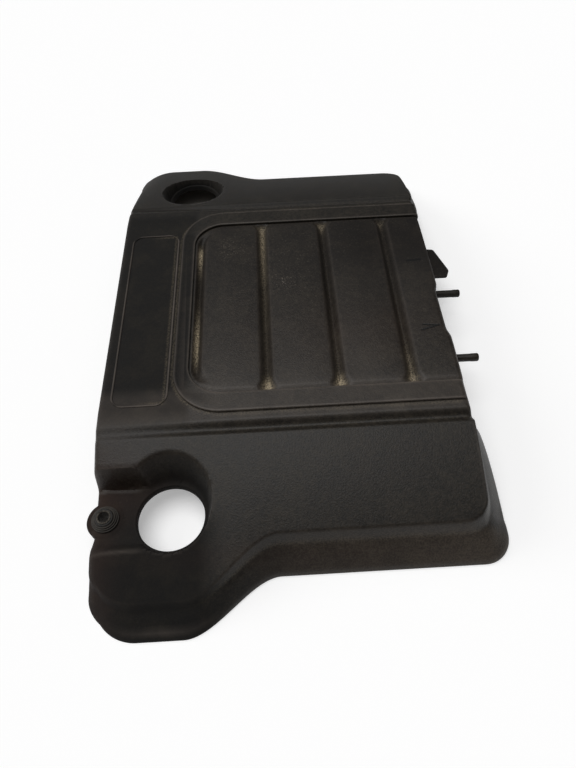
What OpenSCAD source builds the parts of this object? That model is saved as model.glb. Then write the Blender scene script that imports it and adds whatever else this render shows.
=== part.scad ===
// Top cover for a V engine: one plastic moulding, with a rubber bush and a steel sleeve at its front fixing.
// X runs from the front of the cover to its rear pins, Y across it, Z up. It rests on its outer edges.
// The skin is worked out on a grid of stations: s is the distance behind the front edge, and a is the
// distance to either side of the centre line.

/* [Plate] */
// Length from the front edge to the rear shoulder
plate_len = 423; // [410:1:440]
// Height of the raised border above the resting edges
plate_h = 88; // [80:1:100]
// Wall of the moulding
wall = 3; // [2.4:0.1:3.6]
// Depth of the rounded front shoulder
front_round = 10; // [8:1:14]
// How much further forward the front lip reaches at the lobes
front_flare = 6; // [0:0.5:6]
// Height of the front lip above the resting edges, at the centre line
front_lip_z = 60; // [50:1:66]
// Height of the rear lip above the resting edges, at the centre line
rear_lip_z = 43; // [34:1:46]
// Length of the rounded rear shoulder
rear_round = 7; // [5:0.5:9]
// Drop of the rounded rear shoulder
rear_round_drop = 5; // [3:0.5:7]
// Depth of the rear skirt at the centre line
rear_skirt = 3; // [2:0.5:6]
// Depth of the rear skirt at the rear corners
rear_flare = 32; // [26:1:36]
// Depth of the shallow inset in the rear edge between the pins
rear_inset = 4; // [0:0.5:5]
// How much further back the rear edge is at the near side than at the far side, over the whole width
rear_skew = 7; // [0:1:8]

/* [Wings] */
// Width of the flat strip between the border and a side valley
flat_margin = 10; // [6:1:14]
// Width of the side valleys
valley_w = 16; // [12:1:20]
// Half width at the creases of the wings
crease_half = 298; // [292:1:304]
// Half width at the outer edges
edge_half = 331.5; // [328:0.5:338]
// How much further the front lobes reach to each side
lobe_reach = 59; // [40:1:66]
// Length of the front lobes, up to where their sides start to turn in
lobe_len = 98; // [90:1:106]
// Length of the bend from a lobe to the straight side
lobe_bend = 105; // [90:1:120]
// Radius of the front corners
front_corner_r = 50; // [40:1:60]
// Radius of the rear corners
rear_corner_r = 27; // [22:1:28]
// Drop of the flat middle below the border
flat_drop = 3.5; // [3:0.1:5]
// Depth of the side valleys
valley_depth = 5; // [3:0.5:7]
// Drop of the inner shoulders of the wings below the border
wing_drop = 7; // [6:0.5:9]
// Drop of the creases of the wings below the border
crease_drop = 40; // [36:1:44]
// How much lower the creases of the front lobes are
lobe_drop = 20; // [14:1:24]

/* [Border and pads] */
// Distance from the front edge to the border
border_s = 86.5; // [84:0.5:90]
// Width of the border at its front
border_front_w = 18; // [16:0.5:20]
// Half width of the field of pads inside the border
field_half = 144; // [138:1:148]
// Width of the border at its sides
border_side_w = 26; // [22:1:28]
// Corner radius of the field of pads
field_corner_r = 40; // [30:1:50]
// Number of pads
pad_count = 4; // [3:1:5]
// Distance from one groove to the next
pad_pitch = 84.75; // [80:0.25:86]
// Half width of a groove
groove_half = 9; // [7:0.5:11]
// Depth of the grooves
groove_depth = 8; // [5:0.5:9]
// Rise of a pad's middle above its edges
pad_crown = 2.5; // [1:0.25:3]

/* [Badge frame] */
// Distance from the front edge to the badge frame
badge_s = 16; // [14:1:20]
// Length of the badge frame across the cover
badge_len = 287; // [240:1:290]
// Width of the badge frame along the cover
badge_w = 66; // [50:1:67]
// Shift of the badge frame off the centre line
badge_shift = -13.5; // [-16:0.5:0]
// Corner radius of the badge frame
badge_corner_r = 16; // [10:1:24]
// Width of the bead that frames the badge
bead_w = 2.6; // [2:0.1:4]
// Height of the bead that frames the badge
bead_h = 1.2; // [0.8:0.1:2]

/* [Access holes] */
// Radius of each access hole
hole_r = 37; // [33:0.1:38]
// Distance from the front edge to the axis of the near access hole
hole_s = 85; // [82:1:88]
// Distance from the centre line to the axis of the near access hole
hole_half = 272; // [270:1:274]
// Distance from the front edge to the axis of the far access hole
far_hole_s = 91; // [88:1:94]
// Distance from the centre line to the axis of the far access hole
far_hole_half = 266; // [264:1:270]
// Height of the hollow's floor round each access hole
hollow_z = 38; // [34:1:42]
// Width of the hollow's floor round each access hole
hollow_floor = 3.5; // [3:0.5:4]
// Depth of the collar below the hollow's floor
collar_depth = 8; // [6:1:16]

/* [Front fixing] */
// Reach of the pocket from the axis of the bush towards the centre line
pocket_far = 35; // [32:1:38]
// Reach of the pocket from the axis of the bush towards the near side
pocket_near = 29; // [27:1:31]
// Reach of the pocket from the axis of the bush towards the rear
pocket_back = 49; // [46:1:52]
// Width of the slope round the pocket
pocket_slope = 10; // [9:0.5:11]
// Distance from the front edge to the axis of the bush
bush_s = 14; // [13:1:15]
// Distance from the centre line to the axis of the bush
bush_half = 271; // [269:1:273]
// Radius of the rounded ear round the bush
ear_r = 21; // [20:0.5:22]
// Height of the ear
ear_h = 18; // [14:1:22]
// Thickness of the seat at the top of the ear
seat_t = 6; // [5:0.5:8]
// Radius of the hole that the bush grips
seat_r = 10.5; // [9:0.5:12]
// Radius of the flange of the bush
bush_flange_r = 15; // [14:0.5:17]
// Height of the bush above the ear
bush_rise = 8; // [6:0.5:12]
// Radius of the bore in the sleeve
sleeve_bore_r = 5.6; // [4:0.1:6]
// Wall of the sleeve
sleeve_wall = 1.4; // [1:0.1:1.6]

/* [Rear pins and tab] */
// Radius of the pins
pin_r = 5.2; // [4:0.1:6]
// Reach of the pins behind the rear shoulder
pin_reach = 38; // [30:1:50]
// Radius of the round foot that each pin stands on
pin_foot_r = 8; // [7:0.5:9]
// Reach of that foot behind the rear shoulder
pin_foot_reach = 4; // [4:0.5:6]
// Height of the pins above the resting edges
pin_z = 54; // [50:1:58]
// Place of one pin across the cover
pin_a_y = 19; // [10:1:28]
// Place of the other pin across the cover
pin_b_y = -90; // [-110:1:-70]
// Thickness of the pointed tab
tab_t = 3; // [2:0.5:5]
// Reach of the pointed tab behind the rear shoulder
tab_reach = 33; // [26:1:40]
// Width of the pointed tab at its root
tab_w = 58; // [50:1:66]
// Distance across the cover from the nearer pin to the tab
tab_gap = 31; // [28:1:36]

/* [Fit] */
// Clearance between curved faces that seat in each other
clearance = 0.3; // [0.2:0.05:0.4]

/* [Hidden] */
$fn = 64;

// The origin lies under the middle of the whole length, from the ear to the pin tips.
front_x = -(bush_s - ear_r + plate_len + pin_reach) / 2;
border_side_half = field_half + border_side_w;
flat_half = border_side_half + flat_margin;
wing_half = flat_half + valley_w;
border_corner_r = field_corner_r + border_front_w;
field_s = border_s + border_front_w;
flat_z = plate_h - flat_drop;
groove_s = field_s + groove_half - 1;
seat_z = hollow_z + 0.6;

function smooth(t) = let (c = min(1, max(0, t))) c * c * (3 - 2 * c);
function mix(p, q, t) = p + (q - p) * t;
function hump(t) = abs(t) >= 1 ? 0 : pow(cos(90 * t), 2);
function quarter(t) = let (c = min(1, max(0, t))) sqrt(1 - pow(1 - c, 2));
function shoulder(t) = let (c = min(1, max(0, t))) pow(1 - pow(1 - c, 2.6), 1 / 2.6);

// Plan outline: the side edge at station s, and the rear edge at distance a.
function lobe(s) = smooth((lobe_len + lobe_bend - s) / lobe_bend);
function side_edge(s) =
    let (e = edge_half + lobe_reach * lobe(s), r = front_corner_r)
    s >= r ? e : e - r + sqrt(r * r - pow(r - s, 2));
function side_crease(s) = side_edge(s) - (edge_half - crease_half);
function rear_edge(y) =
    plate_len + rear_skirt
    + (rear_flare - rear_skirt)
      * pow(min(1, max(0, (abs(y) - flat_half) / (crease_half - flat_half - 7))), 0.4);
// The rear edge is a little askew, and it is set in between the pins.
function rear_shift(s, y) =
    let (mid = (pin_a_y + pin_b_y) / 2, half = (pin_a_y - pin_b_y) / 2 - pin_foot_r)
    -rear_skew * y / (2 * edge_half) * smooth((s - 0.85 * plate_len) / (0.15 * plate_len))
    - rear_inset * smooth((half - abs(y - mid)) / 8) * smooth((s - plate_len) / rear_round + 2);

// Height of the lips of the skirt.
function front_lip(a) = front_lip_z * (1 - min(1, max(0, (a - flat_half + 20) / 150)));
function rear_lip(a) = rear_lip_z * (1 - min(1, max(0, (a - flat_half - 10) / 95)));

// Distance inside the field of pads, which has round front corners and is open to the rear.
function field_depth(s, a) =
    let (u = s - field_s, v = field_half - a, r = field_corner_r)
    u < r && v < r ? r - norm([r - u, r - v]) : min(u, v);
function pad_groove(s, a) =
    let (turn = atan2(max(0, a - field_half + field_corner_r), max(0.01, field_s + field_corner_r - s)),
         first = hump((field_depth(s, a) - groove_half + 1) / groove_half) * (1 - smooth(turn / 60)),
         flare = groove_half * (1 + 0.6 * smooth((a - field_half + 16) / 12)),
         rest = max([for (k = [1:pad_count - 1]) hump((s - groove_s - k * pad_pitch) / flare)]))
    max(s < field_s + field_corner_r ? first : 0, rest);
function pad_z(s, a) =
    let (d = field_depth(s, a),
         k = (s - groove_s) / pad_pitch,
         across = 2 * (k - floor(k)) - 1,
         crown = pad_crown * (1 - across * across) * (1 - pow(a / field_half, 6)))
    flat_z + smooth(d / 5) * (flat_drop - 1.5 + crown - groove_depth * pad_groove(s, a));

// Height of the wings and their valleys.
function wing_z(s, a) =
    let (w = min(1, max(0, (a - wing_half) / (side_crease(s) - wing_half))),
         low = crease_drop + lobe_drop * lobe(s),
         valley = valley_depth * hump((a - (flat_half + wing_half) / 2) / 9) * mix(0.4, 1, smooth(s / 110)))
    plate_h - (a < wing_half
        ? mix(flat_drop, wing_drop, smooth((a - flat_half) / (wing_half - flat_half)))
        : mix(wing_drop, low, w) - 10 * w * (1 - w)) - valley;

// How far a point lies outside the hollow round the access hole (0 on its floor, 1 on the wing).
// The two holes aren't quite opposite each other. A side is -1 for the near one and 1 for the far one.
hollow_foot = hole_r + hollow_floor;
function hole_at(side) = side < 0 ? [hole_s, hole_half] : [far_hole_s, far_hole_half];
function hollow_top(u, v) = hollow_foot + 2 + 19 * pow((1 + v / max(0.01, norm([u, v]))) / 2, 2.2);
function hole_rim(s, a, side) =
    let (c = hole_at(side), u = s - c[0], v = c[1] - a, top = hollow_top(u, v))
    smooth((norm([u, v]) - hollow_foot) / (top - hollow_foot));
// Draws grid points that lie near the foot or the rim of the hollow onto it.
function ring_spot(s, a, side) =
    let (c = hole_at(side), u = s - c[0], v = c[1] - a, d = max(0.01, norm([u, v])), top = hollow_top(u, v),
         near = abs(d - hollow_foot) < abs(d - top) ? hollow_foot : top,
         k = abs(d - near) < 5 ? near / d : 1)
    [c[0] + k * u, c[1] - k * v];
pocket_in = bush_half - pocket_far;
pocket_out = bush_half + pocket_near;
pocket_len = bush_s + pocket_back;
function pocket_rim(s, a) =
    smooth(max((pocket_in - a) / pocket_slope, (a - pocket_out) / (0.7 * pocket_slope),
        (s - pocket_len) / pocket_slope));
function skin_z(s, y) =
    let (a = abs(y), top = a < field_half && s > field_s ? pad_z(s, a) : wing_z(s, a),
         rim = min(hole_rim(s, a, sign(y)), y < 0 ? pocket_rim(s, a) : 1))
    mix(min(hollow_z, top), top, rim)
    - rear_round_drop * (1 - quarter((plate_len - s) / rear_round))
      * (1 - smooth((a - flat_half) / (wing_half - flat_half)));

// Fall of the skirt from the crease to the lip: a steep step, then a flatter flange.
function skirt_fall(f) = f < 0.22 ? 1.5 * f : 0.33 + 0.67 * (f - 0.22) / 0.78;

// Rows of the grid. A row of the panel is [s in the field of pads, s on the wings]; the two differ so
// that the grooves and the hollows both get evenly spaced rows. A row of the rear skirt is its share f.
function spread(from, to, n) = [for (k = [1:n]) mix(from, to, k / n)];
first_pad_s = groove_s + 1.1 * groove_half;
second_groove_s = groove_s + pad_pitch - 1.25 * groove_half;
front_rows = [for (t = [0, 0.04, 0.16, 0.42, 1]) t * front_round];
first_rows = concat(
    spread(front_round, field_s, 10),
    [for (t = [-0.5, 0, 0.5]) groove_s + t * groove_half],
    spread(first_pad_s, second_groove_s, 5)
);
first_wing_rows = spread(front_round, second_groove_s, len(first_rows));
groove_rows = [for (k = [1:pad_count - 1], t = [-1.25, -0.6, 0, 0.6, 1.25, 0.5 * pad_pitch / groove_half])
    if (k > 1 || t > -1) groove_s + k * pad_pitch + t * groove_half];
rear_rows = [for (t = [1, 0.5, 0.15, 0]) plate_len - t * rear_round];
skirt_rows = [for (f = [0.22, 0.6, 1]) [f]];
rows = concat(
    [for (t = front_rows) [t, t]],
    [for (i = [0:len(first_rows) - 1]) [first_rows[i], first_wing_rows[i]]],
    [for (t = concat(groove_rows, rear_rows)) [t, t]],
    skirt_rows
);

// Stations across one half: [0, a], [1, share of the outer wing] or [2, share of the skirt].
outer_wing = pocket_out - 14;
field_cols = [for (a = [0.5 * field_half, field_half - field_corner_r, field_half - 20,
    field_half - 10, field_half - 5, field_half - 1]) a];
valley_cols = [for (t = [0, 0.25, 0.5, 0.75, 1]) mix(flat_half, wing_half, t)];
half_cols = concat(
    [for (a = field_cols) [0, a]],
    [for (a = valley_cols) [0, a]],
    [for (a = spread(wing_half, pocket_in - pocket_slope, 3)) [0, a]],
    [[0, pocket_in]],
    [for (a = spread(pocket_in, outer_wing, 5)) [0, a]],
    [for (t = [0.2, 0.3, 0.5, 0.75, 1]) [1, t]],
    [for (t = [0.22, 0.6, 0.88, 1]) [2, t]]
);
half_n = len(half_cols);
cols = concat(
    [for (j = [half_n - 1:-1:0]) concat([-1], half_cols[j])],
    [[1, 0, 0]],
    [for (c = half_cols) concat([1], c)]
);
row_n = len(rows);
col_n = len(cols);

function on_panel(row) = len(row) == 2;
function row_edge(row) =
    on_panel(row) ? side_edge(row[1])
    : edge_half - rear_corner_r
      + sqrt(pow(rear_corner_r, 2) - pow(max(0, row[0] * rear_flare + rear_corner_r - rear_flare), 2));
function row_crease(row) = on_panel(row) ? side_crease(row[1]) : crease_half;
function outer_point(row, col) =
    let (f = on_panel(row) ? 0 : row[0],
         v = col[1] == 2 ? col[2] : 0,
         crease = row_crease(row),
         grid_a = col[1] == 0 ? col[2]
             : col[1] == 1 ? mix(outer_wing, crease, col[2])
             : mix(crease, row_edge(row), col[2]),
         grid_s = on_panel(row)
             ? mix(row[0], row[1], smooth((grid_a - field_half) / (wing_half - field_half)))
             : plate_len,
         spot = on_panel(row) && col[1] < 2 && grid_a < crease ? ring_spot(grid_s, grid_a, col[0])
             : [grid_s, grid_a],
         a = spot[1],
         y = col[0] * a,
         s = mix(spot[0], rear_edge(y), f),
         lip = on_panel(row) ? 0 : rear_lip(a),
         panel = skin_z(spot[0], col[0] * min(a, crease)),
         z = mix(panel, lip, skirt_fall(f + v - f * v)),
         rise = shoulder(s / front_round),
         out = front_flare * smooth((a - outer_wing) / 25) * (1 - min(1, s / front_round)))
    [s + front_x - out + rear_shift(s, y), y, mix(front_lip(a), z, rise)];

outer = [for (row = rows) [for (col = cols) outer_point(row, col)]];

// The inner face is one wall below the outer face. Towards the lips it moves in instead of down, so
// that the skirt keeps its wall and ends in a level lip.
function grid_normal(i, j) =
    let (p = outer[max(0, i - 1)][j],
         q = outer[min(row_n - 1, i + 1)][j],
         r = outer[i][max(0, j - 1)],
         t = outer[i][min(col_n - 1, j + 1)],
         n = cross(q - p, t - r))
    n / norm(n);
function inner_point(i, j) =
    let (row = rows[i], col = cols[j],
         t = on_panel(row) ? min(1, row[0] / front_round) : 1,
         b = on_panel(row) ? min(1, (plate_len - row[0]) / rear_round) : 0,
         f = on_panel(row) ? 0 : row[0],
         v = col[1] == 2 ? col[2] : 0,
         back = on_panel(row)
             ? (b < 1 ? 0.93 - 0.73 * b : 0.2 * smooth(2 - (plate_len - row[0]) / rear_round))
             : 0.93 + 0.07 * f,
         down = wall / max(0.35, grid_normal(i, j)[2]) * sqrt(min(t, 1 - f, 1 - v)))
    let (p = outer[i][j] + [wall * (1 - t - back), -wall * v * col[0], -down])
    [p[0], p[1], down == 0 ? p[2] : max(min(0.3, outer[i][j][2] / 2), p[2])];
inner = [for (i = [0:row_n - 1]) [for (j = [0:col_n - 1]) inner_point(i, j)]];

function place(i, j, layer) = layer * row_n * col_n + i * col_n + j;
// Each cell is split along the diagonal that runs between its more level corners, unless the cell is
// so bent in plan that only the other diagonal lies inside it. The four corner cells are split from
// their outermost corner.
function plan_area(p, q, r) = (q[0] - p[0]) * (r[1] - p[1]) - (q[1] - p[1]) * (r[0] - p[0]);
function level_split(i, j) =
    let (a = outer[i][j], b = outer[i][j + 1], c = outer[i + 1][j], d = outer[i + 1][j + 1],
         across = min(plan_area(a, d, b), plan_area(a, c, d)),
         along = min(plan_area(a, c, b), plan_area(b, c, d)),
         corner = (i == 0 || i == row_n - 2) && (j == 0 || j == col_n - 2))
    corner ? (i == 0) == (j == 0)
    : across > 0.01 && (along <= 0.01 || abs(a[2] - d[2]) < abs(c[2] - b[2]));
function cell(i, j, layer) =
    let (a = place(i, j, layer), b = place(i, j + 1, layer),
         c = place(i + 1, j, layer), d = place(i + 1, j + 1, layer))
    level_split(i, j) ? [[a, b, d], [a, d, c]] : [[a, b, c], [b, d, c]];
function turned(face) = [face[0], face[2], face[1]];
outer_faces = [for (i = [0:row_n - 2], j = [0:col_n - 2]) each cell(i, j, 0)];
inner_faces = [for (i = [0:row_n - 2], j = [0:col_n - 2]) for (face = cell(i, j, 1)) turned(face)];
lip_loop = concat(
    [for (j = [0:col_n - 2]) [0, j]],
    [for (i = [0:row_n - 2]) [i, col_n - 1]],
    [for (j = [col_n - 1:-1:1]) [row_n - 1, j]],
    [for (i = [row_n - 1:-1:1]) [i, 0]]
);
lip_faces = [for (k = [0:len(lip_loop) - 1])
    let (p = lip_loop[k], q = lip_loop[(k + 1) % len(lip_loop)])
    each [[place(p[0], p[1], 0), place(p[0], p[1], 1), place(q[0], q[1], 0)],
          [place(q[0], q[1], 0), place(p[0], p[1], 1), place(q[0], q[1], 1)]]];

module skin() {
    polyhedron(
        points = concat([for (row = outer) each row], [for (row = inner) each row]),
        faces = concat(outer_faces, inner_faces, lip_faces),
        convexity = 8
    );
}

// A rounded rectangle from its low corner, with all its corners round.
module rounded(size, r) {
    translate([r, 0]) square([size[0] - 2 * r, size[1]]);
    translate([0, r]) square([size[0], size[1] - 2 * r]);
    for (x = [r, size[0] - r], y = [r, size[1] - r])
        translate([x, y]) circle(r);
}

module border() {
    border_z = flat_z - wall / 2;
    border_len = plate_len - rear_round;
    translate([front_x, 0, border_z])
        linear_extrude(plate_h - border_z)
            intersection() {
                difference() {
                    translate([border_s, -border_side_half])
                        rounded([plate_len, 2 * border_side_half], border_corner_r);
                    translate([field_s, -field_half])
                        rounded([plate_len, 2 * field_half], field_corner_r);
                }
                translate([0, -border_side_half])
                    square([border_len, 2 * border_side_half]);
            }
}

module badge_frame() {
    translate([front_x + badge_s, badge_shift - badge_len / 2, flat_z - wall / 2])
        linear_extrude(wall / 2 + bead_h)
            difference() {
                rounded([badge_w, badge_len], badge_corner_r);
                translate([bead_w, bead_w])
                    rounded([badge_w - 2 * bead_w, badge_len - 2 * bead_w], badge_corner_r - bead_w);
            }
}

module collar(side) {
    translate([front_x + hole_at(side)[0], side * hole_at(side)[1], hollow_z - collar_depth])
        cylinder(r = hole_r + wall, h = collar_depth - wall / 2);
}

module hole_cut(side) {
    translate([front_x + hole_at(side)[0], side * hole_at(side)[1], 0])
        cylinder(r = hole_r, h = plate_h);
}

module ear() {
    translate([front_x + bush_s, -bush_half, seat_z - ear_h])
        cylinder(r = ear_r, h = ear_h);
}

module seat_cut() {
    translate([front_x + bush_s, -bush_half, 0])
        cylinder(r = seat_r, h = plate_h);
    translate([front_x + bush_s, -bush_half, seat_z - ear_h - wall])
        cylinder(r = ear_r - wall, h = ear_h - seat_t + wall);
}

module pin(y) {
    root = 0.5;
    translate([front_x + plate_len - root, y, pin_z])
        rotate([0, 90, 0]) {
            cylinder(r = pin_r, h = pin_reach + root);
            cylinder(r = pin_foot_r, h = pin_foot_reach + root);
        }
}

module tab() {
    root = 1;
    point_w = 0.2 * tab_w;
    translate([front_x + plate_len, pin_a_y + tab_gap, pin_z - tab_t / 2])
        linear_extrude(tab_t)
            polygon([
                [root, 0],
                [tab_reach - 5, 0],
                [tab_reach, point_w],
                [tab_reach - 14, 0.95 * tab_w],
                [root, tab_w]
            ]);
}

module cover_shell() {
    color("dimgray")
        difference() {
            union() {
                skin();
                border();
                badge_frame();
                for (side = [-1, 1])
                    collar(side);
                ear();
                pin(pin_a_y);
                pin(pin_b_y);
                tab();
            }
            for (side = [-1, 1])
                hole_cut(side);
            seat_cut();
        }
}

module front_bush() {
    neck_r = seat_r - clearance;
    bore_r = sleeve_bore_r + sleeve_wall + clearance;
    foot_h = 4;
    color("black")
        translate([front_x + bush_s, -bush_half, seat_z])
            rotate_extrude()
                polygon([
                    [bore_r, -seat_t - foot_h],
                    [neck_r + 1, -seat_t - foot_h],
                    [neck_r + 2.5, -seat_t],
                    [neck_r, -seat_t],
                    [neck_r, 0],
                    [bush_flange_r, 0],
                    [bush_flange_r, 0.4 * bush_rise],
                    [bush_flange_r - 2.5, 0.55 * bush_rise],
                    [bush_flange_r - 4, bush_rise],
                    [bore_r, bush_rise]
                ]);
}

module bush_sleeve() {
    foot_h = 4;
    color("silver")
        translate([front_x + bush_s, -bush_half, seat_z - seat_t - foot_h])
            difference() {
                union() {
                    cylinder(r = sleeve_bore_r + sleeve_wall, h = seat_t + foot_h + bush_rise + 1);
                    translate([0, 0, seat_t + foot_h + bush_rise])
                        cylinder(r = sleeve_bore_r + sleeve_wall + 1, h = 1);
                }
                translate([0, 0, -1])
                    cylinder(r = sleeve_bore_r, h = seat_t + foot_h + bush_rise + 3);
            }
}

cover_shell();
front_bush();
bush_sleeve();
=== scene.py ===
# %% [markdown]
# This scene dresses a moulded plastic engine cover. The imported CAD model gives the place and the size of
# everything, so it is loaded first.

# %% Load the frame
import math
import bpy
import numpy as np
from mathutils import Matrix, Vector


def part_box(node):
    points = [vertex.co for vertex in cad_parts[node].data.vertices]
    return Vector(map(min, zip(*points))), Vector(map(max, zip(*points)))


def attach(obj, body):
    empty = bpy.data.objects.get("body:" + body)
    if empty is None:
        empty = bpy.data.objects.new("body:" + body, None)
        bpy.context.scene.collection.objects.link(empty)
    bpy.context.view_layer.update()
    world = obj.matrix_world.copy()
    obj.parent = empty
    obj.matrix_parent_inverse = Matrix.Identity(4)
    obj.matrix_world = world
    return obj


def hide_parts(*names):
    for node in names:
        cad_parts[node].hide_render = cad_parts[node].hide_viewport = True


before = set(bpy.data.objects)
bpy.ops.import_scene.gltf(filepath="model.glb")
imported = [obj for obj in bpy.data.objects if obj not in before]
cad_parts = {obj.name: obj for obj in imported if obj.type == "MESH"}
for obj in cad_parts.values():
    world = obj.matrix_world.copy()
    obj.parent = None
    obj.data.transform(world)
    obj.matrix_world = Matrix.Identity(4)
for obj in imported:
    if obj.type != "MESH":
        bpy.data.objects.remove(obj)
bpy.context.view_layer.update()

# %% [markdown]
# The camera stands at the near side of the cover and looks down on it, as the photographer did. Its place
# and its turn were worked out from the photograph, in the frame's own directions. A lens is set by its
# focal length in pixels: the picture is 768 pixels high, and Blender's sensor spans its longer side.

# %% Camera
PICTURE_H = 768
FOCAL_PX = 580
SENSOR_MM = 36
camera_place = Vector((-0.014, -0.5181, 0.638))
camera_right = Vector((0.9984, -0.0519, -0.0216)).normalized()
camera_up = Vector((0.055, 0.8215, 0.5676)).normalized()
camera_back = camera_right.cross(camera_up).normalized()
camera_up = camera_back.cross(camera_right)
camera_turn = Matrix((camera_right, camera_up, camera_back)).transposed().to_4x4()
bpy.ops.object.camera_add()
camera = bpy.context.object
camera.matrix_world = Matrix.Translation(camera_place) @ camera_turn
camera.data.sensor_width = SENSOR_MM
camera.data.lens = SENSOR_MM * FOCAL_PX / PICTURE_H
bpy.context.scene.camera = camera
print("lens", round(camera.data.lens, 2), "mm")

# %% [markdown]
# Materials are node trees, and sums with sockets are easier to read as Python. One helper makes every node
# from its type, its settings and what goes into its sockets. Wire wraps one output socket, and each
# operator on it adds a Math node. Its step method is a soft switch: 0 below one level, 1 above another.

# %% Nodes as Python
def feed(tree, slot, value):
    if isinstance(value, Wire):
        tree.links.new(value.socket, slot)
    else:
        slot.default_value = value


def add_node(tree, kind, settings, sockets, out=0):
    node = tree.nodes.new(kind)
    for key, value in settings.items():
        setattr(node, key, value)
    for key, value in sockets.items():
        feed(tree, node.inputs[key], value)
    return Wire(tree, node.outputs[out])


class Wire:
    def __init__(self, tree, socket):
        self.tree = tree
        self.socket = socket

    def math(self, operation, *others, first=None):
        values = [self, *others] if first is None else [first, self]
        return add_node(self.tree, "ShaderNodeMath", {"operation": operation}, dict(enumerate(values)))

    def __add__(self, other):
        return self.math("ADD", other)

    def __mul__(self, other):
        return self.math("MULTIPLY", other)

    def __sub__(self, other):
        return self.math("SUBTRACT", other)

    def __rsub__(self, other):
        return self.math("SUBTRACT", first=other)

    def __pow__(self, other):
        return self.math("POWER", other)

    def step(self, low, high):
        return add_node(self.tree, "ShaderNodeMapRange", {"interpolation_type": "SMOOTHSTEP"},
                        {"Value": self, "From Min": low, "From Max": high, "To Min": 0.0, "To Max": 1.0})

    __radd__ = __add__
    __rmul__ = __mul__


print("sums with sockets ready")

# %% [markdown]
# Finish holds one material, and its methods add the nodes that this scene uses most. A mark is a value
# stored at each corner of a mesh. A Mix node has sockets for numbers, vectors and colours, so its colour
# sockets are picked by number. Colours are written as levels from 0 to 255 and made linear for the shader.

# %% Finishes
MIX_FACTOR = 0
MIX_LOW = 6
MIX_HIGH = 7
MIX_COLOUR_OUT = 2


class Finish:
    def __init__(self, name):
        self.material = bpy.data.materials.new(name)
        self.material.use_nodes = True
        self.tree = self.material.node_tree
        self.shader = self.tree.nodes["Principled BSDF"]

    def node(self, kind, settings, sockets, out=0):
        return add_node(self.tree, kind, settings, sockets, out)

    def place(self):
        return self.node("ShaderNodeTexCoord", {}, {}, "Object")

    def noise(self, place, scale, detail=3.0, rough=0.55):
        return self.node("ShaderNodeTexNoise", {},
                         {"Vector": place, "Scale": scale, "Detail": detail, "Roughness": rough})

    def mark(self, name):
        return self.node("ShaderNodeAttribute", {"attribute_name": name}, {}, "Fac")

    def mix(self, factor, low, high):
        return self.node("ShaderNodeMix", {"data_type": "RGBA"},
                         {MIX_FACTOR: factor, MIX_LOW: low, MIX_HIGH: high}, MIX_COLOUR_OUT)

    def bump(self, height, distance, strength=1.0):
        return self.node("ShaderNodeBump", {},
                         {"Height": height, "Distance": distance, "Strength": strength})

    def wear(self, **sockets):
        for key, value in sockets.items():
            feed(self.tree, self.shader.inputs[key.replace("_", " ")], value)

    def dress(self, piece):
        piece.data.materials.clear()
        piece.data.materials.append(self.material)


def linear(level):
    share = level / 255
    return share / 12.92 if level <= 10 else ((share + 0.055) / 1.055) ** 2.4


def srgb(red, green, blue):
    return [linear(red), linear(green), linear(blue), 1]


print("a grey of level 128 is", round(linear(128), 3), "to the shader")

# %% [markdown]
# A black satin moulding shows its shape mostly by what it reflects. A broad, soft sun stands almost
# overhead and gives the tops their sheen. A weaker one, low at the left, throws soft shadows along the
# right and near edges. Both light the whole floor alike, so the floor stays one even white.

# %% Suns
def add_sun(toward, energy, spread):
    bpy.ops.object.light_add(type="SUN")
    sun = bpy.context.object
    sun.data.energy = energy
    sun.data.angle = math.radians(spread)
    sun.matrix_world = Vector(toward).to_track_quat("Z", "Y").to_matrix().to_4x4()


bpy.context.scene.view_settings.view_transform = "Standard"
add_sun(toward=(-0.18, 0.12, 0.97), energy=1.75, spread=50)
add_sun(toward=(-0.80, 0.25, 0.50), energy=0.6, spread=30)
print("two soft suns added")

# %% [markdown]
# The world is a soft sky, bright overhead and dim at the sides, so flat tops shine and steep slopes go
# dark. A white sky would turn the black plastic grey. Only rays that come straight from the camera see the
# sky as white, so the background is white from every side.

# %% Sky
SKY_TOP = (-0.12, 0.06, 0.99)
SKY_DIM = 0.05
SKY_GLOW = 0.30
SEEN_WHITE = 0.97
world = bpy.data.worlds.new("studio")
bpy.context.scene.world = world
world.use_nodes = True
sky = world.node_tree
way = add_node(sky, "ShaderNodeTexCoord", {}, {}, "Generated")
toward_top = add_node(sky, "ShaderNodeVectorMath", {"operation": "DOT_PRODUCT"},
                      {0: way, 1: SKY_TOP}, "Value")
mirrored = SKY_DIM + SKY_GLOW * toward_top.step(0.6, 0.9)
looked_at = add_node(sky, "ShaderNodeLightPath", {}, {}, "Is Camera Ray")
background = sky.nodes["Background"]
feed(sky, background.inputs["Strength"], mirrored + looked_at * (SEEN_WHITE - mirrored))
background.inputs["Color"].default_value = (1, 1, 1, 1)
print("sky has", len(sky.nodes), "nodes")

# %% [markdown]
# The floor is a plain white sheet. Light Path tells its material which rays come from the camera, from a
# mirror or through glass: they see it a little lighter than it is, so the paper is white while its soft
# shadow stays.

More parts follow.
